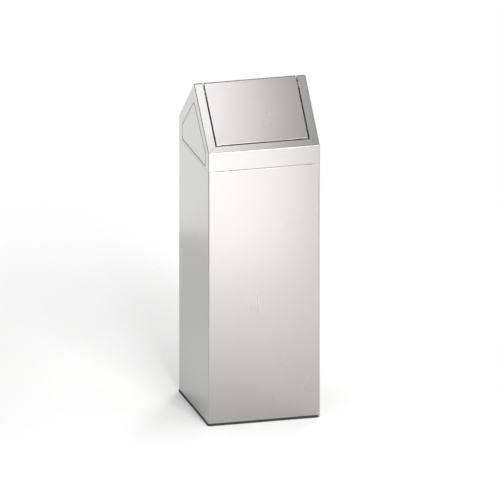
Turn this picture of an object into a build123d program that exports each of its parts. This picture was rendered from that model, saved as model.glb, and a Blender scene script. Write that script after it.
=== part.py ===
from build123d import *
import os
from math import atan2, cos, sin, tan

# Square swing-top waste bin in sheet steel, in millimetres.
# The origin is the centre of the base on the floor, +Z is up, the front faces -Y and +X is on the right.

# Body of the bin
body_width = 300.0
body_depth = 300.0
body_top = 695.0
body_sheet = 1.0
body_corner_radius = 3.0
mouth_lip_width = 9.0
mouth_lip_radius = 1.5
mouth_corner_radius = 6.0
seam_gap = 0.4
seam_strip_width = 30.0
seam_strip_sheet = 1.0
seam_strip_end_gap = 3.0

# Channel-shaped edging pushed on to the lower edge, with its two ends at the front right corner
edging_height = 6.5
edging_web = 2.5
edging_outer_leg = 1.0
edging_inner_leg = 1.5
edging_joint = 5.0

# Floor pan welded inside the walls
floor_top = 20.0
floor_sheet = 1.0
floor_flange_depth = 12.0
floor_corner_radius = 6.0

# Galvanised liner standing on the floor, with a gap to the walls and its rim below the bin's top
liner_gap = 15.0
liner_mouth_drop = 40.0
liner_sheet = 0.8
liner_corner_radius = 18.0
liner_floor_rise = 7.0
liner_floor_fit = 0.1
liner_rim_radius = 3.2

# Drop handles of the liner, one inside its front wall and one inside its back wall
handle_wire_radius = 2.5
handle_bend_radius = 6.0
handle_leg_spacing = 100.0
handle_drop = 48.0
handle_end_length = 15.0
handle_axis_drop = 15.0
handle_wall_distance = 6.5
ear_bore_clearance = 0.1
ear_sheet = 2.0
ear_height = 22.0
ear_foot_width = 16.0
ear_tab_offset = 10.0
ear_edge_margin = 4.0
rivet_radius = 2.0
rivet_head_radius = 3.6
rivet_head_height = 1.4
rivet_spacing = 12.0

# Gabled lid
lid_sheet = 1.0
lid_front_skirt = 51.0
lid_back_skirt = 61.5
lid_ridge_rise = 198.5
ridge_forward = 2.0
skirt_bend_radius = 3.0
ridge_bend_radius = 5.0
lid_corner_radius = 2.0
side_strip_width = 23.5
lower_strip_width = 20.1
turned_edge_depth = 8.0
turned_edge_radius = 0.9
weld_gap = 0.2
lid_lip_width = 10.0
lid_lip_radius = 2.0
lid_lip_end_left = 17.5
lid_lip_end_right = 14.0

# Pressed bead that stiffens each gable, measured from the front of the lid and from its lower edge
bead_front = 29.0
bead_back = 35.0
bead_bottom = 8.5
bead_front_shoulder = 44.0
bead_back_shoulder = 48.0
bead_apex_height = 147.0
bead_width = 5.0
bead_depth = 2.0
bead_corner_radius = 8.0

# Collar under the lid that centres it in the mouth
collar_sheet = 1.0
collar_depth = 18.0
collar_rise = 4.0
collar_corner_radius = 6.0

# Swinging flap: one sheet folded over the ridge
flap_gap = 3.0
flap_sheet = 1.0
flap_hem_depth = 10.0
flap_hem_radius = 1.5
flap_end_flange_depth = 8.0
flap_notch = 2.0
flap_edge_radius = 0.8
cheek_sheet = 1.5
cheek_arm_length = 62.0
cheek_arm_width = 16.0
cheek_hub_half_width = 13.0

# Pivots
pivot_drop = 28.0
pin_radius = 4.0
pin_head_radius = 7.0
pin_head_length = 3.0
pin_end_length = 2.5
bush_clearance = 0.06
bush_wall = 2.0
bush_flange_radius = 9.0
bush_flange_length = 1.5
bush_collar_step = 1.0
spacer_wall = 3.0
axial_play = 0.3
clip_radius = 7.0
clip_length = 0.8
clip_groove_depth = 0.7
clip_slot_width = 5.6

# Pivot brackets, bolted to weld studs inside the gables
bracket_sheet = 2.0
bracket_clearance = 0.5
bracket_roof_clearance = 1.0
bracket_width = 32.0
bracket_drop = 45.0
bracket_foot_length = 34.0
bracket_bend_radius = 3.0
bracket_margin = 5.0
stud_radius = 2.0
stud_length = 9.0
stud_spacing = 16.0
stud_hole_clearance = 0.25
nut_across_flats = 7.0
nut_height = 3.2

# Stop posts on the flap, which run in arc slots in the brackets
swing_limit = 60.0
stop_arm = 22.0
stop_post_radius = 2.0
sleeve_wall = 1.0
slot_clearance = 0.6
slot_end_angle = 1.0
stop_post_overhang = 1.5

# How far a cutting shape runs past what it cuts
overrun = 5.0

# Sizes that follow from those above
inner_width = body_width - 2 * body_sheet
inner_depth = body_depth - 2 * body_sheet
mouth_width = body_width - 2 * mouth_lip_width
mouth_depth = body_depth - 2 * mouth_lip_width
liner_width = inner_width - 2 * liner_gap
liner_depth = inner_depth - 2 * liner_gap
liner_top = body_top - liner_mouth_drop
liner_inner_width = liner_width - 2 * liner_sheet
liner_inner_depth = liner_depth - 2 * liner_sheet
handle_y = liner_inner_depth / 2 - handle_wall_distance
handle_axis_height = liner_top - handle_axis_drop
ear_x = handle_leg_spacing / 2 + ear_tab_offset
rivet_x = ear_x + ear_sheet + ear_foot_width / 2
lid_front_y = -body_depth / 2
lid_back_y = body_depth / 2
ridge_y = -ridge_forward
ridge_z = body_top + lid_ridge_rise
front_pitch = atan2(lid_ridge_rise - lid_front_skirt, ridge_y - lid_front_y)
back_pitch = atan2(lid_ridge_rise - lid_back_skirt, lid_back_y - ridge_y)
front_slope = (ridge_y - lid_front_y) / cos(front_pitch)
back_slope = (lid_back_y - ridge_y) / cos(back_pitch)
front_opening_end = front_slope - lower_strip_width
back_opening_end = back_slope - lower_strip_width
front_flap_end = front_opening_end - flap_gap
back_flap_end = back_opening_end - flap_gap
opening_half_width = body_width / 2 - side_strip_width
flap_half_width = opening_half_width - flap_gap
lid_inner_x = body_width / 2 - lid_sheet
pivot_z = ridge_z - pivot_drop
cheek_outer_x = flap_half_width - flap_sheet
cheek_inner_x = cheek_outer_x - cheek_sheet
bracket_inner_x = opening_half_width + lid_sheet + bracket_clearance
bracket_outer_x = bracket_inner_x + bracket_sheet
bush_inner_x = bracket_inner_x - bush_flange_length
bush_outer_x = bracket_outer_x + bush_flange_length
bush_bore_radius = pin_radius + bush_clearance
bush_radius = bush_bore_radius + bush_wall
clip_x = bush_outer_x + axial_play
clip_groove_radius = pin_radius - clip_groove_depth
pin_end_x = clip_x + clip_length + pin_end_length
sleeve_radius = stop_post_radius + sleeve_wall
slot_radius = sleeve_radius + slot_clearance
stop_post_end_x = bracket_outer_x + stop_post_overhang
bracket_disc_radius = stop_arm + slot_radius + bracket_margin
bracket_shelf_z = pivot_z - bracket_drop
stud_z = bracket_shelf_z - bracket_foot_length / 2


def rounded_block(width, depth, radius, bottom, top):
    """An upright block with rounded corners, centred on the Z axis."""
    return Pos(0, 0, bottom) * extrude(RectangleRounded(width, depth, radius), top - bottom)


def block(low, high):
    """A square-edged block between two opposite corners."""
    size = [b - a for a, b in zip(low, high)]
    middle = [(a + b) / 2 for a, b in zip(low, high)]
    return Pos(*middle) * Box(*size)


def rod(radius, start, length, axis):
    """A round rod that starts at a point and runs along an axis."""
    return extrude(Plane(origin=start, z_dir=axis) * Circle(radius), length)


def pivot_rod(radius, x_from, x_to):
    """A round rod on the pivot axis between two distances to the right."""
    return rod(radius, (x_from, ridge_y, pivot_z), x_to - x_from, (1, 0, 0))


def mirrored(right_piece):
    """The left-hand copy of a right-hand piece."""
    return mirror(right_piece, about=Plane.YZ)


def slope_point(side, along, depth):
    """A point of the roof's section: side -1 is the front slope and 1 the back one,
    along is the way down it from the sharp ridge, and depth is square to its outer face."""
    pitch = front_pitch if side < 0 else back_pitch
    y = ridge_y + side * (along * cos(pitch) - depth * sin(pitch))
    z = ridge_z - along * sin(pitch) - depth * cos(pitch)
    return (y, z)


def peak_point(depth):
    """The point where both slopes, moved in by a depth, meet."""
    front_rise = tan(front_pitch)
    back_rise = tan(back_pitch)
    front_level = ridge_z - depth / cos(front_pitch)
    back_level = ridge_z - depth / cos(back_pitch)
    shift = (back_level - front_level) / (front_rise + back_rise)
    return (ridge_y + shift, front_level + shift * front_rise)


def shoulder_point(side, depth):
    """The point where a slope meets its upright skirt, both moved in by a depth."""
    pitch = front_pitch if side < 0 else back_pitch
    skirt_y = side * (body_depth / 2 - depth)
    run = abs(skirt_y - ridge_y)
    return (skirt_y, ridge_z - depth / cos(pitch) - run * tan(pitch))


def side_section(points):
    """A face in the upright plane that runs front to back, from points (y, z)."""
    return Plane.YZ * make_face(Polyline(*points, close=True))


def turned_edges(piece, on_edge):
    """The sharp outer edges of a piece along its turned flange, chosen by a test of place."""
    return [
        edge
        for edge in piece.edges()
        if edge.length > 2 * lid_sheet and roof_depth(edge.center()) < lid_sheet / 2 and on_edge(edge)
    ]


def roof_block(depth, half_length, bottom):
    """The lid as a solid block, its faces moved in by a depth, with its folds rounded."""
    corners = [shoulder_point(-1, depth), peak_point(depth), shoulder_point(1, depth)]
    foot = [(corners[0][0], bottom), (corners[2][0], bottom)]
    folds = [skirt_bend_radius - depth, ridge_bend_radius - depth, skirt_bend_radius - depth]
    outline = FilletPolyline(foot[0], *corners, foot[1], radius=folds)
    section = make_face(Curve() + [outline, Line(foot[1], foot[0])])
    solid = extrude(Plane.YZ * section, half_length, both=True)
    end_edges = [
        edge
        for face in (solid.faces().sort_by(Axis.X)[0], solid.faces().sort_by(Axis.X)[-1])
        for edge in face.edges()
        if edge.center().Z > bottom + overrun
    ]
    return fillet(end_edges, lid_corner_radius - depth)


def under_sheet(front_end, back_end, sheet, lower_points):
    """A face that fits under both slopes and their rounded ridge, closed by a line of lower points."""
    start = slope_point(-1, front_end, sheet)
    end = slope_point(1, back_end, sheet)
    top = FilletPolyline(start, peak_point(sheet), end, radius=[ridge_bend_radius - sheet])
    return Plane.YZ * make_face(Curve() + [top, Polyline(end, *lower_points, start)])


def slope_band(front_end, back_end, sheet, deep):
    """The section of a flange turned down along both slopes, from the sheet to a depth."""
    lower_points = [slope_point(1, back_end, deep), peak_point(deep), slope_point(-1, front_end, deep)]
    return under_sheet(front_end, back_end, sheet, lower_points)


def place_section(section, x_from, x_to):
    """A front-to-back section given its thickness between two distances to the right."""
    return Pos(x_from, 0, 0) * extrude(section, x_to - x_from, dir=(1, 0, 0))


def body_shell():
    """One sheet folded round four corners and butted at the back, with a lip round its mouth."""
    outside = rounded_block(body_width, body_depth, body_corner_radius, edging_web, body_top)
    outside = fillet(outside.edges().group_by(Axis.Z)[-1], mouth_lip_radius)
    inner_radius = body_corner_radius - body_sheet
    inside = rounded_block(inner_width, inner_depth, inner_radius, edging_web - overrun, body_top - body_sheet)
    mouth = rounded_block(mouth_width, mouth_depth, mouth_corner_radius, body_top - overrun, body_top + overrun)
    seam_start = body_depth / 2 - mouth_lip_width - overrun
    seam = block(
        (-seam_gap / 2, seam_start, edging_web - overrun),
        (seam_gap / 2, body_depth / 2 + overrun, body_top + overrun),
    )
    return outside - inside - mouth - seam


def back_seam_strip():
    """Flat strip welded behind the butted edges of the body."""
    outer_y = inner_depth / 2
    bottom = floor_top + seam_strip_end_gap
    top = body_top - body_sheet - seam_strip_end_gap
    return block((-seam_strip_width / 2, outer_y - seam_strip_sheet, bottom), (seam_strip_width / 2, outer_y, top))


def base_edging():
    """Channel round the lower edge of the walls, open at the front right corner."""
    outer_radius = body_corner_radius + edging_outer_leg
    strip = rounded_block(
        body_width + 2 * edging_outer_leg, body_depth + 2 * edging_outer_leg, outer_radius, 0, edging_height
    )
    inner_x = inner_width / 2 - edging_inner_leg
    inner_y = inner_depth / 2 - edging_inner_leg
    middle = block((-inner_x, -inner_y, -overrun), (inner_x, inner_y, edging_height + overrun))
    sheet_space = rounded_block(
        body_width, body_depth, body_corner_radius, edging_web, edging_height + overrun
    ) - rounded_block(
        inner_width, inner_depth, body_corner_radius - body_sheet, edging_web - overrun, edging_height + 2 * overrun
    )
    joint = block(
        (body_width / 2 - edging_joint, -body_depth / 2 - overrun, -overrun),
        (body_width / 2 + overrun, -body_depth / 2 + edging_joint, edging_height + overrun),
    )
    return strip - middle - sheet_space - joint


def body_floor():
    """Pan with a flange turned down all round and welded to the walls."""
    bottom = floor_top - floor_flange_depth
    pan = rounded_block(inner_width, inner_depth, floor_corner_radius, bottom, floor_top)
    hollow = rounded_block(
        inner_width - 2 * floor_sheet,
        inner_depth - 2 * floor_sheet,
        floor_corner_radius - floor_sheet,
        bottom - overrun,
        floor_top - floor_sheet,
    )
    return pan - hollow


def rivet_points():
    """Places of the rivets as (x, side, z): side is -1 at the front wall and 1 at the back one."""
    return [
        (x, side, handle_axis_height + height)
        for side in (-1, 1)
        for x in (-rivet_x, rivet_x)
        for height in (-rivet_spacing / 2, rivet_spacing / 2)
    ]


def rivet_shanks(radius):
    """Rods through the liner wall and the ears at every rivet."""
    reach = ear_sheet + liner_sheet + rivet_head_height
    start = liner_inner_depth / 2 - ear_sheet - rivet_head_height / 2
    return [rod(radius, (x, side * start, z), reach, (0, side, 0)) for x, side, z in rivet_points()]


def liner_shell():
    """Upright walls of the liner, drilled for the rivets of the handle ears."""
    walls = rounded_block(liner_width, liner_depth, liner_corner_radius, floor_top, liner_top)
    hollow = rounded_block(
        liner_inner_width,
        liner_inner_depth,
        liner_corner_radius - liner_sheet,
        floor_top - overrun,
        liner_top + overrun,
    )
    shell = walls - hollow
    for shank in rivet_shanks(rivet_radius):
        shell -= shank
    return shell


def liner_floor():
    """Bottom of the liner, a pan whose flange stands on the floor of the bin."""
    width = liner_inner_width - 2 * liner_floor_fit
    depth = liner_inner_depth - 2 * liner_floor_fit
    radius = liner_corner_radius - liner_sheet - liner_floor_fit
    pan = rounded_block(width, depth, radius, floor_top, floor_top + liner_floor_rise)
    hollow = rounded_block(
        width - 2 * liner_sheet,
        depth - 2 * liner_sheet,
        radius - liner_sheet,
        floor_top - overrun,
        floor_top + liner_floor_rise - liner_sheet,
    )
    return pan - hollow


def liner_rim():
    """Round bead closed over the top edge of the liner."""
    width = liner_width - liner_sheet
    depth = liner_depth - liner_sheet
    radius = liner_corner_radius - liner_sheet / 2
    path = Pos(0, 0, liner_top) * RectangleRounded(width, depth, radius).wire()
    bead = sweep(Plane(origin=path @ 0, z_dir=path % 0) * Circle(liner_rim_radius), path=path)
    wall = rounded_block(
        liner_width, liner_depth, liner_corner_radius, liner_top - 2 * liner_rim_radius, liner_top
    ) - rounded_block(
        liner_inner_width,
        liner_inner_depth,
        liner_corner_radius - liner_sheet,
        liner_top - 3 * liner_rim_radius,
        liner_top + liner_rim_radius,
    )
    return bead - wall


def ear(side, hand):
    """One angle piece: a foot on the liner wall and a tab that carries a handle end."""
    wall_y = liner_inner_depth / 2
    bottom = handle_axis_height - ear_height / 2
    top = handle_axis_height + ear_height / 2
    tab_tip = handle_y - handle_wire_radius - ear_edge_margin
    foot_end = ear_x + ear_sheet + ear_foot_width
    tab = block((ear_x, tab_tip, bottom), (ear_x + ear_sheet, wall_y, top))
    foot = block((ear_x, wall_y - ear_sheet, bottom), (foot_end, wall_y, top))
    piece = tab + foot
    bore_start = (ear_x - overrun, handle_y, handle_axis_height)
    bore_radius = handle_wire_radius + ear_bore_clearance
    piece -= rod(bore_radius, bore_start, ear_sheet + 2 * overrun, (1, 0, 0))
    if side < 0:
        piece = mirror(piece, about=Plane.XZ)
    if hand < 0:
        piece = mirrored(piece)
    return piece


def ears(side):
    """Both ears of one handle, drilled for their rivets."""
    shanks = rivet_shanks(rivet_radius)
    pieces = []
    for hand in (-1, 1):
        piece = ear(side, hand)
        for shank in shanks:
            piece -= shank
        pieces.append(piece)
    return pieces


def liner_rivets():
    """Round-headed rivets that hold the ears to the liner."""
    inside_y = liner_inner_depth / 2 - ear_sheet
    grip = ear_sheet + liner_sheet
    pieces = []
    for x, side, z in rivet_points():
        inner_head = rod(rivet_head_radius, (x, side * inside_y, z), rivet_head_height, (0, -side, 0))
        shank = rod(rivet_radius, (x, side * inside_y, z), grip, (0, side, 0))
        outer_head = rod(rivet_head_radius, (x, side * (inside_y + grip), z), rivet_head_height, (0, side, 0))
        pieces.append(inner_head + shank + outer_head)
    return pieces


def liner_handle(side):
    """Bail of round wire that hangs in its two ears, with its ends turned outwards."""
    y = side * handle_y
    leg = handle_leg_spacing / 2
    end = leg + handle_end_length
    low = handle_axis_height - handle_drop
    path = FilletPolyline(
        (-end, y, handle_axis_height),
        (-leg, y, handle_axis_height),
        (-leg, y, low),
        (leg, y, low),
        (leg, y, handle_axis_height),
        (end, y, handle_axis_height),
        radius=handle_bend_radius,
    )
    return sweep(Plane(origin=path @ 0, z_dir=path % 0) * Circle(handle_wire_radius), path=path)


def lid_skin():
    """The whole roof as a thin skin, before it is divided."""
    bottom = body_top
    outside = roof_block(0, body_width / 2, bottom)
    inside = roof_block(lid_sheet, lid_inner_x, bottom - overrun)
    return outside - inside


def throw_opening():
    """The space of the opening through both slopes and over the ridge."""
    section = side_section([
        slope_point(-1, front_opening_end, -overrun),
        peak_point(-overrun),
        slope_point(1, back_opening_end, -overrun),
        slope_point(1, back_opening_end, 2 * turned_edge_depth),
        slope_point(-1, front_opening_end, 2 * turned_edge_depth),
    ])
    return place_section(section, -opening_half_width, opening_half_width)


def mitre_wedge(points):
    """An upright block over a plan outline, taller than the lid, less half of the weld gap."""
    outline = offset(make_face(Polyline(*points, close=True)), -weld_gap / 2, kind=Kind.INTERSECTION)
    return Pos(0, 0, body_top - overrun) * extrude(outline, lid_ridge_rise + 2 * overrun)


def opening_plan_y(side):
    """How far forward or back the lower edge of the throw opening lies."""
    end = front_opening_end if side < 0 else back_opening_end
    return slope_point(side, end, 0)[0]


def lid_rim_wedge(side):
    """Plan of the front or back rim: from the outer corners in to the opening's corners."""
    outer_y = side * body_depth / 2
    reach = side * (body_depth / 2 + overrun)
    edge_y = opening_plan_y(side)
    half = body_width / 2
    return mitre_wedge([
        (-half, outer_y),
        (-half, reach),
        (half, reach),
        (half, outer_y),
        (opening_half_width, edge_y),
        (opening_half_width, ridge_y),
        (-opening_half_width, ridge_y),
        (-opening_half_width, edge_y),
    ])


def lid_rim(side):
    """Skirt of one face with its strip of slope, a turned edge at the opening and a lip below."""
    end = front_opening_end if side < 0 else back_opening_end
    turned = side_section([
        slope_point(side, end, lid_sheet),
        slope_point(side, end + lid_sheet, lid_sheet),
        slope_point(side, end + lid_sheet, turned_edge_depth),
        slope_point(side, end, turned_edge_depth),
    ])
    flange = place_section(turned, -opening_half_width, opening_half_width)
    piece = (lid_skin() - throw_opening() + flange) & lid_rim_wedge(side)
    edge_y, edge_z = slope_point(side, end, 0)
    sharp = turned_edges(piece, lambda edge: abs(edge.center().Z - edge_z) < weld_gap)
    piece = fillet(sharp, turned_edge_radius)
    outer_y = side * body_depth / 2
    left = -body_width / 2 + lid_lip_end_left
    right = body_width / 2 - lid_lip_end_right
    lip_low = (left, min(outer_y, outer_y - side * lid_lip_width), body_top)
    lip_high = (right, max(outer_y, outer_y - side * lid_lip_width), body_top + lid_sheet)
    piece += block(lip_low, lip_high)
    corner = block(
        (left, min(outer_y, outer_y - side * lid_lip_radius), body_top),
        (right, max(outer_y, outer_y - side * lid_lip_radius), body_top + lid_lip_radius),
    )
    fold_start = (left - overrun, outer_y - side * lid_lip_radius, body_top + lid_lip_radius)
    fold = rod(lid_lip_radius, fold_start, body_width + 2 * overrun, (1, 0, 0))
    return piece - (corner - fold)


def bead_path():
    """Five-sided line of the pressed bead, in the plane of the right gable."""
    front_y = lid_front_y + bead_front
    back_y = lid_back_y - bead_back
    corners = [
        (front_y, body_top + bead_bottom),
        (front_y, body_top + bead_front_shoulder),
        (ridge_y, body_top + bead_apex_height),
        (back_y, body_top + bead_back_shoulder),
        (back_y, body_top + bead_bottom),
    ]
    return FilletPolyline(*corners, radius=bead_corner_radius, close=True)


def bead_tube(extra):
    """Round tube along the bead whose cut with the gable is as wide and deep as the bead."""
    radius = (bead_width ** 2 / 4 + bead_depth ** 2) / (2 * bead_depth)
    stand_out = radius - bead_depth
    line = bead_path()
    path = Pos(body_width / 2 + stand_out, 0, 0) * (Plane.YZ * line).wire()
    return sweep(Plane(origin=path @ 0, z_dir=path % 0) * Circle(radius + extra), path=path)


def lid_right_gable():
    """Pressed gable with its strips of both slopes, turned edges and lower lip."""
    half = body_width / 2
    strip_x = opening_half_width - weld_gap / 2
    wedge = mitre_wedge([
        (half, -body_depth / 2),
        (half + overrun, -body_depth / 2),
        (half + overrun, body_depth / 2),
        (half, body_depth / 2),
        (strip_x, opening_plan_y(1)),
        (strip_x, opening_plan_y(-1)),
    ])
    band = slope_band(front_opening_end, back_opening_end, lid_sheet, turned_edge_depth)
    flange = place_section(band, opening_half_width, opening_half_width + lid_sheet)
    piece = (lid_skin() - throw_opening() + flange) & wedge
    sharp = turned_edges(piece, lambda edge: abs(edge.center().X - opening_half_width) < weld_gap)
    piece = fillet(sharp, turned_edge_radius)
    boss = bead_tube(lid_sheet) & block(
        (0, lid_front_y, body_top), (lid_inner_x, lid_back_y, ridge_z)
    )
    piece = piece + boss - bead_tube(0)
    lip_y = body_depth / 2 - lid_lip_end_left
    piece += block((half - lid_lip_width, -lip_y, body_top), (lid_inner_x, lip_y, body_top + lid_sheet))
    return piece


def lid_collar():
    """Square band welded inside the lower lips of the lid."""
    width = body_width - 2 * lid_lip_width
    depth = body_depth - 2 * lid_lip_width
    bottom = body_top - collar_depth
    top = body_top + collar_rise
    band = rounded_block(width, depth, collar_corner_radius, bottom, top)
    hollow = rounded_block(
        width - 2 * collar_sheet, depth - 2 * collar_sheet, collar_corner_radius - collar_sheet,
        bottom - overrun, top + overrun,
    )
    return band - hollow


def stop_slot():
    """Arc slot below the pivot, as long as the swing of the stop post."""
    reach = swing_limit + slot_end_angle
    straight_down = 270
    arc = CenterArc((0, 0), stop_arm, straight_down - reach, 2 * reach)
    plane = Plane(origin=(bracket_inner_x - overrun, ridge_y, pivot_z), x_dir=(0, 1, 0), z_dir=(1, 0, 0))
    return extrude(plane * SlotArc(arc, 2 * slot_radius), bracket_sheet + 2 * overrun)


def right_pivot_bracket():
    """Plate with the bush hole and the stop slot, folded out to a foot on the gable."""
    disc = pivot_rod(bracket_disc_radius, bracket_inner_x, bracket_outer_x)
    middle_x = bracket_inner_x + bracket_sheet / 2
    foot_x = lid_inner_x - bracket_sheet / 2
    shelf = bracket_shelf_z - bracket_sheet / 2
    strip_line = FilletPolyline(
        (middle_x, pivot_z - stop_arm - slot_radius - bracket_sheet),
        (middle_x, shelf),
        (foot_x, shelf),
        (foot_x, shelf - bracket_foot_length),
        radius=[bracket_bend_radius, bracket_bend_radius],
    )
    section = Plane.XZ * trace(strip_line, bracket_sheet)
    strip = Pos(0, ridge_y, 0) * extrude(section, bracket_width / 2, both=True)
    piece = disc + strip
    under_roof = side_section([
        shoulder_point(-1, lid_sheet + bracket_roof_clearance),
        peak_point(lid_sheet + bracket_roof_clearance),
        shoulder_point(1, lid_sheet + bracket_roof_clearance),
        (lid_back_y, body_top),
        (lid_front_y, body_top),
    ])
    piece = piece & place_section(under_roof, 0, body_width)
    piece -= pivot_rod(bush_radius, bracket_inner_x - overrun, bracket_outer_x + overrun)
    piece -= stop_slot()
    for y in stud_places():
        start = (foot_x - overrun, y, stud_z)
        piece -= rod(stud_radius + stud_hole_clearance, start, 2 * overrun, (1, 0, 0))
    return piece


def stud_places():
    """Front-to-back places of the two studs of a bracket."""
    return [ridge_y - stud_spacing / 2, ridge_y + stud_spacing / 2]


def bracket_studs():
    """Weld studs that stand inward from both gables."""
    pieces = []
    for y in stud_places():
        stud = rod(stud_radius, (lid_inner_x, y, stud_z), stud_length, (-1, 0, 0))
        pieces += [stud, mirrored(stud)]
    return pieces


def bracket_nuts():
    """Hexagon nuts that clamp the brackets to their studs."""
    pieces = []
    for y in stud_places():
        plane = Plane(origin=(lid_inner_x - bracket_sheet, y, stud_z), x_dir=(0, 1, 0), z_dir=(-1, 0, 0))
        outline = RegularPolygon(nut_across_flats / 2, 6, major_radius=False) - Circle(stud_radius)
        nut = extrude(plane * outline, nut_height)
        pieces += [nut, mirrored(nut)]
    return pieces


def right_pivot_bush():
    """Plastic bush, flanged on both faces of the bracket, that the pin turns in."""
    barrel = pivot_rod(bush_radius, bush_inner_x, bush_outer_x)
    inner_flange = pivot_rod(bush_flange_radius, bush_inner_x, bracket_inner_x)
    outer_collar = pivot_rod(bush_radius + bush_collar_step, bracket_outer_x, bush_outer_x)
    bore = pivot_rod(bush_bore_radius, bush_inner_x - overrun, bush_outer_x + overrun)
    return barrel + inner_flange + outer_collar - bore


def flap_panel():
    """One sheet folded over the ridge, with a hem at each lower edge and a flange at each end."""
    outline = FilletPolyline(
        slope_point(-1, front_flap_end, flap_hem_depth),
        slope_point(-1, front_flap_end, 0),
        (ridge_y, ridge_z),
        slope_point(1, back_flap_end, 0),
        slope_point(1, back_flap_end, flap_hem_depth),
        radius=[flap_hem_radius, ridge_bend_radius, flap_hem_radius],
    )
    inner_outline = FilletPolyline(
        slope_point(-1, front_flap_end - flap_sheet, flap_hem_depth),
        slope_point(-1, front_flap_end - flap_sheet, flap_sheet),
        peak_point(flap_sheet),
        slope_point(1, back_flap_end - flap_sheet, flap_sheet),
        slope_point(1, back_flap_end - flap_sheet, flap_hem_depth),
        radius=[flap_hem_radius - flap_sheet, ridge_bend_radius - flap_sheet, flap_hem_radius - flap_sheet],
    )
    front_tip = Line(outline @ 0, inner_outline @ 0)
    back_tip = Line(outline @ 1, inner_outline @ 1)
    section = Plane.YZ * make_face(Curve() + [outline, back_tip, inner_outline, front_tip])
    piece = extrude(section, flap_half_width, both=True)
    sharp = turned_edges(piece, lambda edge: abs(abs(edge.center().X) - flap_half_width) < weld_gap)
    piece = fillet(sharp, flap_edge_radius)
    band = slope_band(
        front_flap_end - flap_hem_radius - flap_notch,
        back_flap_end - flap_hem_radius - flap_notch,
        flap_sheet,
        flap_end_flange_depth,
    )
    right_flange = place_section(band, flap_half_width - flap_sheet, flap_half_width)
    return piece + right_flange + mirrored(right_flange)


def roof_depth(point):
    """How deep a point lies under the nearer outer slope."""
    across = point.Y - ridge_y
    down = ridge_z - point.Z
    front_depth = down * cos(front_pitch) + across * sin(front_pitch)
    back_depth = down * cos(back_pitch) - across * sin(back_pitch)
    return min(front_depth, back_depth)


def right_flap_cheek():
    """End plate that carries the flap on its pin: two arms under the slopes and a hub."""
    arm_depth = flap_sheet + cheek_arm_width
    hub_bottom = pivot_z - stop_arm - stop_post_radius - bracket_margin
    lower_points = [
        slope_point(1, cheek_arm_length, arm_depth),
        (ridge_y + cheek_hub_half_width, pivot_z - cheek_hub_half_width),
        (ridge_y + cheek_hub_half_width / 2, hub_bottom),
        (ridge_y - cheek_hub_half_width / 2, hub_bottom),
        (ridge_y - cheek_hub_half_width, pivot_z - cheek_hub_half_width),
        slope_point(-1, cheek_arm_length, arm_depth),
    ]
    section = under_sheet(cheek_arm_length, cheek_arm_length, flap_sheet, lower_points)
    plate = place_section(section, cheek_inner_x, cheek_outer_x)
    plate -= pivot_rod(pin_radius, cheek_inner_x - overrun, cheek_outer_x + overrun)
    plate -= stop_rod(stop_post_radius, cheek_inner_x - overrun, cheek_outer_x + overrun)
    return plate


def stop_rod(radius, x_from, x_to):
    """A round rod at the place of the stop post."""
    return rod(radius, (x_from, ridge_y, pivot_z - stop_arm), x_to - x_from, (1, 0, 0))


def right_pivot_pin():
    """Headed pin fixed in the cheek, with a groove for its clip."""
    head = pivot_rod(pin_head_radius, cheek_inner_x - pin_head_length, cheek_inner_x)
    shank = pivot_rod(pin_radius, cheek_inner_x, pin_end_x)
    groove = pivot_rod(pin_head_radius, clip_x, clip_x + clip_length)
    groove -= pivot_rod(clip_groove_radius, clip_x, clip_x + clip_length)
    return head + shank - groove


def right_pin_spacer():
    """Washer-like tube that keeps the flap clear of the bracket."""
    outside = pivot_rod(pin_radius + spacer_wall, cheek_outer_x, bush_inner_x - axial_play)
    bore = pivot_rod(pin_radius, cheek_outer_x - overrun, bush_inner_x + overrun)
    return outside - bore


def right_pin_clip():
    """Open retaining ring in the groove of the pin."""
    ring = pivot_rod(clip_radius, clip_x, clip_x + clip_length)
    ring -= pivot_rod(clip_groove_radius, clip_x - overrun, clip_x + overrun)
    half_slot = clip_slot_width / 2
    mouth = block(
        (clip_x - overrun, ridge_y - half_slot, pivot_z - clip_radius - overrun),
        (clip_x + overrun, ridge_y + half_slot, pivot_z),
    )
    return ring - mouth


def right_stop_post():
    """Round post riveted through the cheek, which reaches through the slot of the bracket."""
    return stop_rod(stop_post_radius, cheek_inner_x, stop_post_end_x)


def right_stop_sleeve():
    """Rubber sleeve on the stop post that meets the ends of the slot."""
    start = bracket_inner_x - bracket_clearance
    return stop_rod(sleeve_radius, start, stop_post_end_x) - stop_rod(stop_post_radius, start, stop_post_end_x)


def save(node, shape):
    """Write one sub-part, which is one solid or a group of separate solids."""
    if isinstance(shape, list):
        shape = Compound(children=[solid for piece in shape for solid in piece.solids()])
    export_step(shape, os.path.join("parts", node + ".step"))


def main():
    os.makedirs("parts", exist_ok=True)
    save("body_shell", body_shell())
    save("back_seam_strip", back_seam_strip())
    save("base_edging", base_edging())
    save("body_floor", body_floor())
    save("liner_shell", liner_shell())
    save("liner_floor", liner_floor())
    save("liner_rim", liner_rim())
    save("liner_rivets", liner_rivets())
    for name, side in (("front", -1), ("back", 1)):
        save(name + "_liner_ears", ears(side))
        save(name + "_liner_handle", liner_handle(side))
        save("lid_" + name + "_rim", lid_rim(side))
    save("lid_collar", lid_collar())
    save("bracket_studs", bracket_studs())
    save("bracket_nuts", bracket_nuts())
    save("flap_panel", flap_panel())
    pairs = {
        "lid_{}_gable": lid_right_gable,
        "{}_pivot_bracket": right_pivot_bracket,
        "{}_pivot_bush": right_pivot_bush,
        "{}_flap_cheek": right_flap_cheek,
        "{}_pivot_pin": right_pivot_pin,
        "{}_pin_spacer": right_pin_spacer,
        "{}_pin_clip": right_pin_clip,
        "{}_stop_post": right_stop_post,
        "{}_stop_sleeve": right_stop_sleeve,
    }
    for pattern, make in pairs.items():
        piece = make()
        save(pattern.format("right"), piece)
        save(pattern.format("left"), mirrored(piece))


main()
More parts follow.
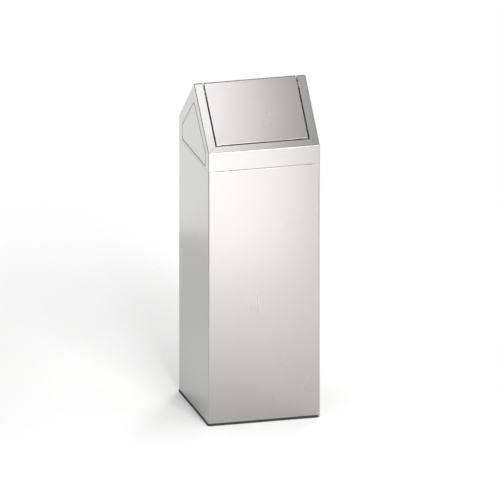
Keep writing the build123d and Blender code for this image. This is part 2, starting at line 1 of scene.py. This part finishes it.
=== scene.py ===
# %% [markdown]
# # A swing-top bin, dressed for its photograph
#
# The bin is a tall square tube of satin stainless steel under a gabled lid. Its shapes come
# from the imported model, which is loaded here as a fixed frame. This lesson gives each node a
# finish worked out with shader nodes, adds the small marks that welding leaves, and then sets
# up a plain studio in which flat sheet metal shows soft gradients.

import bmesh
import bpy
import numpy as np
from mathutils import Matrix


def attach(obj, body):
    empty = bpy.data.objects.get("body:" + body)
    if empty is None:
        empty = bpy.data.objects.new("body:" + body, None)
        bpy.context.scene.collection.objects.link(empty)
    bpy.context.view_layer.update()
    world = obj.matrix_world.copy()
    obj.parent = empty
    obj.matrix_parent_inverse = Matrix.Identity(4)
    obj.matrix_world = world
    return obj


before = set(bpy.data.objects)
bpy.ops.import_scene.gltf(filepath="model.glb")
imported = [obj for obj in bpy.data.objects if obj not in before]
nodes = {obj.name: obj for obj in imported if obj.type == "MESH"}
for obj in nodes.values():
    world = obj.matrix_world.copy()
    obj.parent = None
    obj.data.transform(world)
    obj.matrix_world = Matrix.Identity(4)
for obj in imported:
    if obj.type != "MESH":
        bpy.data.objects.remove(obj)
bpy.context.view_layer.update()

mm = 0.001

# %% [markdown]
# ## Measurements that the finishes and the marks follow
#
# The lid is folded from sheet. Its front slope runs from the skirt's bend up to the ridge, and
# the back slope down again. The numbers below repeat the bin's own sizes in metres, so that a
# point on a slope can be named by how far down from the ridge it lies.

# %% sizes of the bin
half_width = 150 * mm
body_top = 695 * mm
ridge_y, ridge_z = -2 * mm, 893.5 * mm
bend_z = {-1: body_top + 51 * mm, 1: body_top + 61.5 * mm}
opening_half = 126.5 * mm
lower_strip = 20.1 * mm
axis_point = (0, 0, 0.6)  # on the bin's axis: lamps face it, and outwards is away from it


def slope_axes(side):
    """Unit vector down a slope, its outward normal and its length, in the plane of y and z."""
    run = np.array([side * half_width - ridge_y, bend_z[side] - ridge_z])
    length = np.hypot(*run)
    down = run / length
    return down, np.array([-side * down[1], side * down[0]]), length


def slope_place(x, side, along, height=0.0):
    """Points on a slope: the ridge, plus along times the way down, plus height times the normal."""
    down, normal, _ = slope_axes(side)
    y = ridge_y + along * down[0] + height * normal[0]
    z = ridge_z + along * down[1] + height * normal[1]
    return np.stack(np.broadcast_arrays(x, y, z), -1)


for side, word in ((-1, "front"), (1, "back")):
    print(word, "slope is", round(slope_axes(side)[2] / mm, 1), "mm long")

# %% [markdown]
# ## Colours and nodes
#
# Colours are picked as they look on a screen and turned into the linear light that a renderer
# adds up. One helper puts a node into a tree, sets its inputs and links it, which keeps each
# material short enough to read as a recipe.

# %% colour and node helpers
def linear(hex_colour):
    """sRGB hex to linear: a straight line near black and a power of 2.4 above it."""
    value = np.array([int(hex_colour[i:i + 2], 16) for i in (1, 3, 5)]) / 255
    light = np.where(value <= 0.04045, value / 12.92, ((value + 0.055) / 1.055) ** 2.4)
    return (*light.tolist(), 1.0)


def add_node(tree, kind, settings=None, **inputs):
    """Adds one node. Settings go on the node, and inputs are values or sockets to link.

    An input goes by its label, with _ for a space, or by i and its place in the node's list.
    """
    node = tree.nodes.new(kind)
    for name, value in (settings or {}).items():
        setattr(node, name, value)
    for name, value in inputs.items():
        key = int(name[1:]) if name[0] == "i" and name[1:].isdigit() else name.replace("_", " ")
        if isinstance(value, bpy.types.NodeSocket):
            tree.links.new(value, node.inputs[key])
        else:
            node.inputs[key].default_value = value
    return node


def new_material(name):
    """An empty node material with its output, ready for a shader."""
    material = bpy.data.materials.new(name)
    material.use_nodes = True
    material.node_tree.nodes.clear()
    output = add_node(material.node_tree, "ShaderNodeOutputMaterial")
    return material, material.node_tree, output


noise_span = {"From_Min": 0.3, "From_Max": 0.7}  # where most of a noise value lies
satin_grey = "#A9A8A7"
print("stainless grey in linear light:", [round(v, 3) for v in linear(satin_grey)[:3]])

# %% [markdown]
# ## Satin stainless steel
#
# The outer sheets are austenitic stainless, belt-ground along their length. Each grit leaves a
# scratch some 0.05 mm wide and a hand long, so light spreads across the scratches and hardly
# along them: reflections turn into broad soft bands, which is the look of satin steel. The
# scratches are far too fine for the picture, so they are drawn 0.9 mm wide with little contrast.
# Roughness does most of their work, helped by a little anisotropy, whose tangent lies across
# the grain. Handling leaves faint clouds in the gloss, about a palm across. The sheets inside
# keep the mill's duller finish, and the ground welds are a little brighter and have no grain.

# %% satin stainless
palm_cells = (9, 9, 6)  # a metre: clouds 110 mm wide and 170 mm tall


def satin_steel(name, tint, grain, roughness, clouds=0.004, streak=0.006, anisotropic=0.1):
    """Streaks along the grain change tone, gloss and height, and clouds change the gloss."""
    material, tree, output = new_material(name)
    place = add_node(tree, "ShaderNodeTexCoord").outputs["Object"]
    in_grain = add_node(tree, "ShaderNodeMapping", Vector=place, Scale=grain).outputs["Vector"]
    in_palms = add_node(tree, "ShaderNodeMapping", Vector=place, Scale=palm_cells).outputs["Vector"]
    lines = add_node(tree, "ShaderNodeTexNoise", Vector=in_grain, Scale=1.0, Detail=3.0,
                     Roughness=0.65).outputs["Fac"]
    palm = add_node(tree, "ShaderNodeTexNoise", Vector=in_palms, Scale=1.0, Detail=2.0,
                    Roughness=0.5).outputs["Fac"]
    dark = tuple(c * (1 - streak) for c in linear(tint)[:3]) + (1.0,)
    line_tone = add_node(tree, "ShaderNodeMapRange", Value=lines, **noise_span)
    tone = add_node(tree, "ShaderNodeMix", {"data_type": "RGBA"}, i0=line_tone.outputs["Result"],
                    i6=dark, i7=linear(tint)).outputs[2]
    line_gloss = add_node(tree, "ShaderNodeMapRange", Value=lines, **noise_span,
                          To_Min=roughness - streak / 4, To_Max=roughness + streak / 4)
    palm_gloss = add_node(tree, "ShaderNodeMapRange", Value=palm, **noise_span,
                          To_Min=-clouds, To_Max=clouds)
    gloss = add_node(tree, "ShaderNodeMath", {"operation": "ADD"},
                     i0=line_gloss.outputs["Result"], i1=palm_gloss.outputs["Result"]).outputs[0]
    bump = add_node(tree, "ShaderNodeBump", Height=lines, Strength=0.05, Distance=0.002 * mm)
    normal = add_node(tree, "ShaderNodeNewGeometry").outputs["Normal"]
    across = add_node(tree, "ShaderNodeVectorMath", {"operation": "CROSS_PRODUCT"},
                      i0=(0.0, 0.0, 1.0), i1=normal).outputs[0]
    shader = add_node(tree, "ShaderNodeBsdfPrincipled", Base_Color=tone, Metallic=1.0,
                      Roughness=gloss, Normal=bump.outputs["Normal"], Anisotropic=anisotropic,
                      Tangent=across)
    tree.links.new(shader.outputs[0], output.inputs["Surface"])
    return material


streak_cells = 1 / (0.9 * mm)
length_cells = 1 / (130 * mm)
upright_grain = (streak_cells, streak_cells, length_cells)
slope_grain = (streak_cells, length_cells, length_cells)
body_steel = satin_steel("satin_stainless_body", satin_grey, upright_grain, 0.27)
lid_steel = satin_steel("satin_stainless_lid", satin_grey, slope_grain, 0.27)
gable_steel = satin_steel("satin_stainless_gable", satin_grey, upright_grain, 0.27)
inner_steel = satin_steel("mill_finish_stainless", "#989795", slope_grain, 0.42, 0.05, 0.015)
weld_grain = (1100, 1100, 1100)
weld_steel = satin_steel("ground_weld_stainless", "#B0AFAD", weld_grain, 0.24, 0.02, 0.05)
print("grain cells per metre:", round(streak_cells), "across,", round(length_cells, 1), "along")

# %% [markdown]
# ## Galvanised and zinc-plated steel
#
# The liner is hot-dip galvanised sheet. Zinc freezes on it in flat crystals 8 to 20 mm across,
# and each one throws the light another way, which gives the spangle. The small fittings are
# electroplated with zinc instead: smooth, slightly blue and bright, with a fine orange peel.

# %% zinc finishes
spangle_size = 14 * mm
fern_cells = (900, 900, 300)


def galvanised_sheet():
    """Spangle: each cell of a jittered lattice has one tone and gloss of its own."""
    material, tree, output = new_material("hot_dip_galvanised")
    place = add_node(tree, "ShaderNodeTexCoord").outputs["Object"]
    in_spangle = add_node(tree, "ShaderNodeMapping", Vector=place,
                          Scale=(1 / spangle_size,) * 3).outputs["Vector"]
    in_ferns = add_node(tree, "ShaderNodeMapping", Vector=place, Scale=fern_cells).outputs["Vector"]
    cells = add_node(tree, "ShaderNodeTexVoronoi", {"feature": "F1"}, Vector=in_spangle, Scale=1.0,
                     Randomness=1.0)
    grey = add_node(tree, "ShaderNodeSeparateColor", Color=cells.outputs["Color"]).outputs[0]
    fern = add_node(tree, "ShaderNodeTexNoise", Vector=in_ferns, Scale=1.0,
                    Detail=3.0).outputs["Fac"]
    tone = add_node(tree, "ShaderNodeMix", {"data_type": "RGBA"}, i0=grey,
                    i6=linear("#A9ADAF"), i7=linear("#CDD0D1")).outputs[2]
    gloss = add_node(tree, "ShaderNodeMapRange", Value=grey, To_Min=0.36, To_Max=0.56)
    bump = add_node(tree, "ShaderNodeBump", Height=fern, Strength=0.2, Distance=0.03 * mm)
    shader = add_node(tree, "ShaderNodeBsdfPrincipled", Base_Color=tone, Metallic=1.0,
                      Roughness=gloss.outputs["Result"], Normal=bump.outputs["Normal"])
    tree.links.new(shader.outputs[0], output.inputs["Surface"])
    return material


def grained(name, dark, light, roughness, grain_mm, bump_mm, metallic=0.0, ior=None, sway=0.06):
    """A skin with a fine grain: noise of one size moves tone, gloss and height together."""
    material, tree, output = new_material(name)
    place = add_node(tree, "ShaderNodeTexCoord").outputs["Object"]
    in_grain = add_node(tree, "ShaderNodeMapping", Vector=place,
                        Scale=(1 / (grain_mm * mm),) * 3).outputs["Vector"]
    grain = add_node(tree, "ShaderNodeTexNoise", Vector=in_grain, Scale=1.0, Detail=4.0,
                     Roughness=0.6).outputs["Fac"]
    share = add_node(tree, "ShaderNodeMapRange", Value=grain, **noise_span).outputs["Result"]
    tone = add_node(tree, "ShaderNodeMix", {"data_type": "RGBA"}, i0=share,
                    i6=linear(dark), i7=linear(light)).outputs[2]
    gloss = add_node(tree, "ShaderNodeMapRange", Value=grain, **noise_span,
                     To_Min=roughness - sway, To_Max=roughness + sway)
    bump = add_node(tree, "ShaderNodeBump", Height=grain, Strength=0.4, Distance=bump_mm * mm)
    shader = add_node(tree, "ShaderNodeBsdfPrincipled", Base_Color=tone, Metallic=metallic,
                      Roughness=gloss.outputs["Result"], Normal=bump.outputs["Normal"])
    if ior:
        shader.inputs["IOR"].default_value = ior
    tree.links.new(shader.outputs[0], output.inputs["Surface"])
    return material


galvanised = galvanised_sheet()
zinc_plate = grained("bright_zinc_plate", "#B9BCBD", "#D2D5D6", 0.28, 2.5, 0.02, metallic=1.0)
print("spangle about", round(spangle_size / mm), "mm across, plating grain 2.5 mm")

# %% [markdown]
# ## Rubber and acetal
#
# The edging strip is extruded EPDM rubber: near black, matt, with a faint bloom that lightens
# it in patches. The stop sleeves are cut from rubber tube. The bushes and spacers are moulded
# acetal, milky white with a low sheen.

# %% polymers
edging_rubber = grained("extruded_epdm_rubber", "#111112", "#222224", 0.62, 6.0, 0.05, ior=1.5)
sleeve_rubber = grained("rubber_tube", "#19191A", "#29292A", 0.62, 1.2, 0.03, ior=1.5)
acetal = grained("moulded_acetal", "#DAD7CC", "#EAE7DE", 0.42, 3.0, 0.02, ior=1.48)
print("polymers:", edging_rubber.name, sleeve_rubber.name, acetal.name)

# %% [markdown]
# ## Handing out the finishes
#
# Each node keeps its mesh and gets its finish in every material slot. The front and back rims
# are ground along the slope and the gables upright, as the sheets lay under the belt.

# %% assign finishes
finishes = {
    body_steel: ["body_shell"],
    lid_steel: ["lid_front_rim", "lid_back_rim", "flap_panel"],
    gable_steel: ["lid_left_gable", "lid_right_gable"],
    inner_steel: ["back_seam_strip", "lid_collar", "left_flap_cheek", "right_flap_cheek"],
    galvanised: ["body_floor", "liner_shell", "liner_floor", "liner_rim"],
    zinc_plate: ["liner_rivets", "front_liner_ears", "back_liner_ears", "front_liner_handle",
                 "back_liner_handle", "bracket_studs", "bracket_nuts"]
    + [side + part for side in ("left", "right")
       for part in ("_pivot_bracket", "_pivot_pin", "_pin_clip", "_stop_post")],
    edging_rubber: ["base_edging"],
    sleeve_rubber: ["left_stop_sleeve", "right_stop_sleeve"],
    acetal: [side + part for side in ("left", "right") for part in ("_pivot_bush", "_pin_spacer")],
}
dressed = set()
for finish, names in finishes.items():
    for name in names:
        for slot in nodes[name].material_slots:
            slot.material = finish
        dressed.add(name)
print("nodes without a finish:", sorted(set(nodes) - dressed))

# %% [markdown]
# ## Ground weld seams on the lid
#
# The lid's four sheets meet in mitres that run from the corners of the throw opening out to the
# corners of the lid. They are welded and ground nearly flush, which leaves a low bead a little
# over a millimetre wide. Each bead is a flat arch carried along the mitre's line.

# %% mesh and weld seam
def grid_shell(points):
    """Corners and quads of a grid of points (rows, columns, 3); faces turn from columns to rows."""
    rows, columns = points.shape[:2]
    index = np.arange(rows * columns).reshape(rows, columns)
    faces = np.stack([index[:-1, :-1], index[1:, :-1], index[1:, 1:], index[:-1, 1:]], -1)
    return points.reshape(-1, 3), faces.reshape(-1, 4)


def add_piece(name, shells, finish, body):
    """Joins shells into one piece that rides on a body and takes its finish from a slot."""
    starts = np.cumsum([0] + [len(corners) for corners, _ in shells[:-1]])
    corners = np.concatenate([corners for corners, _ in shells])
    faces = np.concatenate([start + quads for start, (_, quads) in zip(starts, shells)])
    mesh = bpy.data.meshes.new(name)
    mesh.from_pydata(corners.tolist(), [], faces.tolist())
    welded = bmesh.new()
    welded.from_mesh(mesh)
    bmesh.ops.remove_doubles(welded, verts=welded.verts, dist=0.001 * mm)
    welded.to_mesh(mesh)
    welded.free()
    mesh.shade_smooth()
    mesh.materials.append(finish)
    piece = bpy.data.objects.new(name, mesh)
    bpy.context.scene.collection.objects.link(piece)
    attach(piece, body)
    normals = np.empty(len(mesh.polygons) * 3)
    mesh.polygons.foreach_get("normal", normals)
    centres = np.empty(len(mesh.polygons) * 3)
    mesh.polygons.foreach_get("center", centres)
    outward = (normals.reshape(-1, 3) * (centres.reshape(-1, 3) - axis_point)).sum(1) > 0
    print(name, "faces:", len(outward), "share that points outwards:", round(outward.mean(), 3))


bead_reach = (0.03, 0.93)  # shares of the mitre's length at which a bead starts and stops


def mitre_bead(x_side, y_side, width=1.3 * mm, height=0.12 * mm, sunk=0.03 * mm):
    """An arch, height times 1 minus u squared, less the depth that its edges are sunk.

    It is carried along a line t from the opening's corner to the lid's corner, and two sine
    waves along t make it ripple as a seam welded by hand does.
    """
    _, _, length = slope_axes(y_side)
    t = np.linspace(*bead_reach, 40)[:, None]
    u = np.linspace(-1, 1, 9)[None, :]
    start = np.array([opening_half, length - lower_strip])
    end = np.array([half_width, length])
    way = (end - start) / np.hypot(*(end - start))
    ripple = 1 + 0.12 * np.sin(t * 90) + 0.08 * np.sin(t * 37 + 1)
    x = start[0] + t * (end - start)[0] - u * way[1] * width / 2
    along = start[1] + t * (end - start)[1] + u * way[0] * width / 2
    points = slope_place(x_side * x, y_side, along, height * ripple * (1 - u ** 2) - sunk)
    return grid_shell(points if x_side * y_side > 0 else points[:, ::-1])


seams = [mitre_bead(x, y) for x in (-1, 1) for y in (-1, 1)]
add_piece("lid_mitre_welds", seams, weld_steel, "lid")
print("mitre beads:", len(seams))

# %% [markdown]
# ## Spot-weld marks beside the back seam
#
# The body's sheet closes at the back on a strip behind the joint, and rows of spot welds hold
# it. The electrode leaves a shallow ring-shaped dent with a raised lip, 5 mm across. Each mark
# is a profile of height over radius, turned round its own centre.

# %% spot-weld marks
def spot_mark(centre, right, upward, outward, radius=2.6 * mm, lip=0.09 * mm, base=0.01 * mm):
    """Turned profile: a base, plus the lip's height times sin squared of pi times share to 1.5.

    Share is the distance from the centre over the radius, so centre and edge are both low.
    """
    share = np.linspace(0, 1, 7)[:, None]
    turn = np.linspace(0, 2 * np.pi, 21)[None, :]
    height = lip * np.sin(np.pi * share ** 1.5) ** 2 + base
    flat = share * radius
    spoke = np.cos(turn)[..., None] * right + np.sin(turn)[..., None] * upward
    points = centre + flat[..., None] * spoke + (height + 0 * turn)[..., None] * outward
    return grid_shell(points)


x_axis, y_axis, z_axis = np.eye(3)
row_offset = 8 * mm
mark_heights = np.linspace(45, 655, 13) * mm
marks = [spot_mark(np.array([x, half_width, z]), -x_axis, z_axis, y_axis)
         for x in (-row_offset, row_offset) for z in mark_heights]
add_piece("back_seam_spot_welds", marks, weld_steel, "can")
pitch = mark_heights[1] - mark_heights[0]
print("spot welds:", len(marks), "at a pitch of", round(pitch / mm, 1), "mm")

# %% [markdown]
# ## The studio
#
# A flat metal face works as a dull mirror, so its shading is a picture of the room. The floor
# is pale and plain. Near the bin it is lit and keeps the bin's shadow. Further out it fades to
# an even white, seen by the camera and by the metal alike. Large soft lamps near the bin give
# gradients, because each height of a face sees them at another angle.

# %% floor
floor_fade = (0.9, 1.9)  # metres from the bin's axis between which the glow takes over
fibre_cells = (60, 60, 60)
floor_radius, floor_corners = 9, 64


def studio_floor():
    """A disc of paper: lit near the bin, and an even white glow from about a metre out."""
    material, tree, output = new_material("paper_floor")
    place = add_node(tree, "ShaderNodeTexCoord").outputs["Object"]
    distance = add_node(tree, "ShaderNodeVectorMath", {"operation": "LENGTH"},
                        i0=place).outputs["Value"]
    in_fibres = add_node(tree, "ShaderNodeMapping", Vector=place,
                         Scale=fibre_cells).outputs["Vector"]
    fibre = add_node(tree, "ShaderNodeTexNoise", Vector=in_fibres, Scale=1.0,
                     Detail=2.0).outputs["Fac"]
    paper = add_node(tree, "ShaderNodeMix", {"data_type": "RGBA"}, i0=fibre,
                     i6=linear("#E4E4E3"), i7=linear("#E9E9E9")).outputs[2]
    lit = add_node(tree, "ShaderNodeBsdfDiffuse", Color=paper)
    glow = add_node(tree, "ShaderNodeEmission", Strength=1.0)
    ray = add_node(tree, "ShaderNodeLightPath")
    seen = ray.outputs["Is Camera Ray"]
    for kind in ("Is Glossy Ray", "Is Transmission Ray"):
        seen = add_node(tree, "ShaderNodeMath", {"operation": "MAXIMUM"}, i0=seen,
                        i1=ray.outputs[kind]).outputs[0]
    far = add_node(tree, "ShaderNodeMapRange", {"interpolation_type": "SMOOTHSTEP"}, Value=distance,
                   From_Min=floor_fade[0], From_Max=floor_fade[1]).outputs["Result"]
    share = add_node(tree, "ShaderNodeMath", {"operation": "MULTIPLY"}, i0=seen, i1=far).outputs[0]
    mixed = add_node(tree, "ShaderNodeMixShader", Fac=share, i1=lit.outputs[0], i2=glow.outputs[0])
    tree.links.new(mixed.outputs[0], output.inputs["Surface"])
    return material


floor_mesh = bpy.data.meshes.new("floor")
turn = np.linspace(0, 2 * np.pi, floor_corners + 1)[:-1]
rim = np.stack([floor_radius * np.cos(turn), floor_radius * np.sin(turn), 0 * turn], -1)
floor_mesh.from_pydata(rim.tolist(), [], [list(range(floor_corners))])
floor_mesh.materials.append(studio_floor())
floor = bpy.data.objects.new("floor", floor_mesh)
bpy.context.scene.collection.objects.link(floor)
print("floor fades to white between", floor_fade, "m")

# %% [markdown]
# ## Lamps
#
# The key is a softbox two metres in front, which the upper half of the front face mirrors,
# with a weaker one below it. A faint one stands low in front, one hangs overhead, and one
# stands behind on the left, where the bin's left side sees it at a glancing angle. Another
# far behind on the right does for the back what the key does for the front. Two wide lamps
# high above light the floor's paper. They don't show in the metal, but the few pieces of
# rubber and plastic catch some of their light. The room all round is an even mid grey.

# %% lamps and world
def softbox(name, place, aim, size, power):
    """A square lamp of a side in metres at a place, turned to face a point."""
    data = bpy.data.lights.new(name, "AREA")
    data.shape, data.size, data.energy = "SQUARE", size, power
    lamp = bpy.data.objects.new(name, data)
    bpy.context.scene.collection.objects.link(lamp)
    lamp.location = place
    lamp.visible_camera = False
    way = np.array(aim, float) - np.array(place, float)
    flat = np.hypot(way[0], way[1])
    lamp.rotation_euler = (np.arctan2(flat, -way[2]), 0, np.arctan2(way[1], way[0]) - np.pi / 2)
    return lamp


# name, place in metres, side in metres, power in watts
metal_lamps = (
    ("front_far", (0.0, -2.2, 1.2), 0.9, 58),
    ("front_far_low", (-0.2, -2.2, 0.9), 0.5, 6),
    ("front_low", (0.15, -1.3, 0.3), 0.5, 1.3),
    ("overhead", (0.1, -0.5, 2.2), 0.5, 2.3),
    ("behind_left", (-0.35, 0.7, 0.5), 0.5, 0.3),
    ("back_right_far", (1.3, 2.1, 1.3), 0.9, 34),
)
for name, place, size, power in metal_lamps:
    softbox(name, place, axis_point, size, power)
wash_height, wash_size, wash_power = 2.8, 2.4, 14
for place in ((-0.6, 1.0), (0.0, 2.4)):
    paper_wash = softbox("paper_wash", (*place, wash_height), (*place, 0), wash_size, wash_power)
    paper_wash.visible_glossy = False
room_grey = (0.50, 0.50, 0.50, 1.0)
world = bpy.data.worlds.new("studio")
bpy.context.scene.world = world
world.use_nodes = True
world.node_tree.nodes["Background"].inputs["Color"].default_value = room_grey
world.node_tree.nodes["Background"].inputs["Strength"].default_value = 1.0
bpy.context.scene.view_settings.view_transform = "Standard"

# %% [markdown]
# ## The camera
#
# In the photograph upright edges stay parallel and so do the level ones, which a long lens far
# away gives. An orthographic camera does the same. It looks from 14.8 degrees left of the front
# and 18.4 degrees above the floor, and 1.301 m of the scene fills the frame.

# %% camera
azimuth, elevation = np.radians(14.83), np.radians(18.35)
view_width = 1.301
aim_height, shift_right, shift_down = 0.445, 0.0015, 0.0211
camera_distance = 4
back = np.array([-np.sin(azimuth) * np.cos(elevation), -np.cos(azimuth) * np.cos(elevation),
                 np.sin(elevation)])
right = np.array([np.cos(azimuth), -np.sin(azimuth), 0])
upward = np.cross(back, right)
aim = np.array([0, 0, aim_height]) + shift_right * right - shift_down * upward
camera_data = bpy.data.cameras.new("camera")
camera_data.type, camera_data.ortho_scale = "ORTHO", view_width
camera_data.clip_end = 50
camera = bpy.data.objects.new("camera", camera_data)
bpy.context.scene.collection.objects.link(camera)
camera.location = aim + camera_distance * back
camera.rotation_euler = (np.pi / 2 - elevation, 0, -azimuth)
bpy.context.scene.camera = camera
print("camera at", [round(v, 3) for v in camera.location])
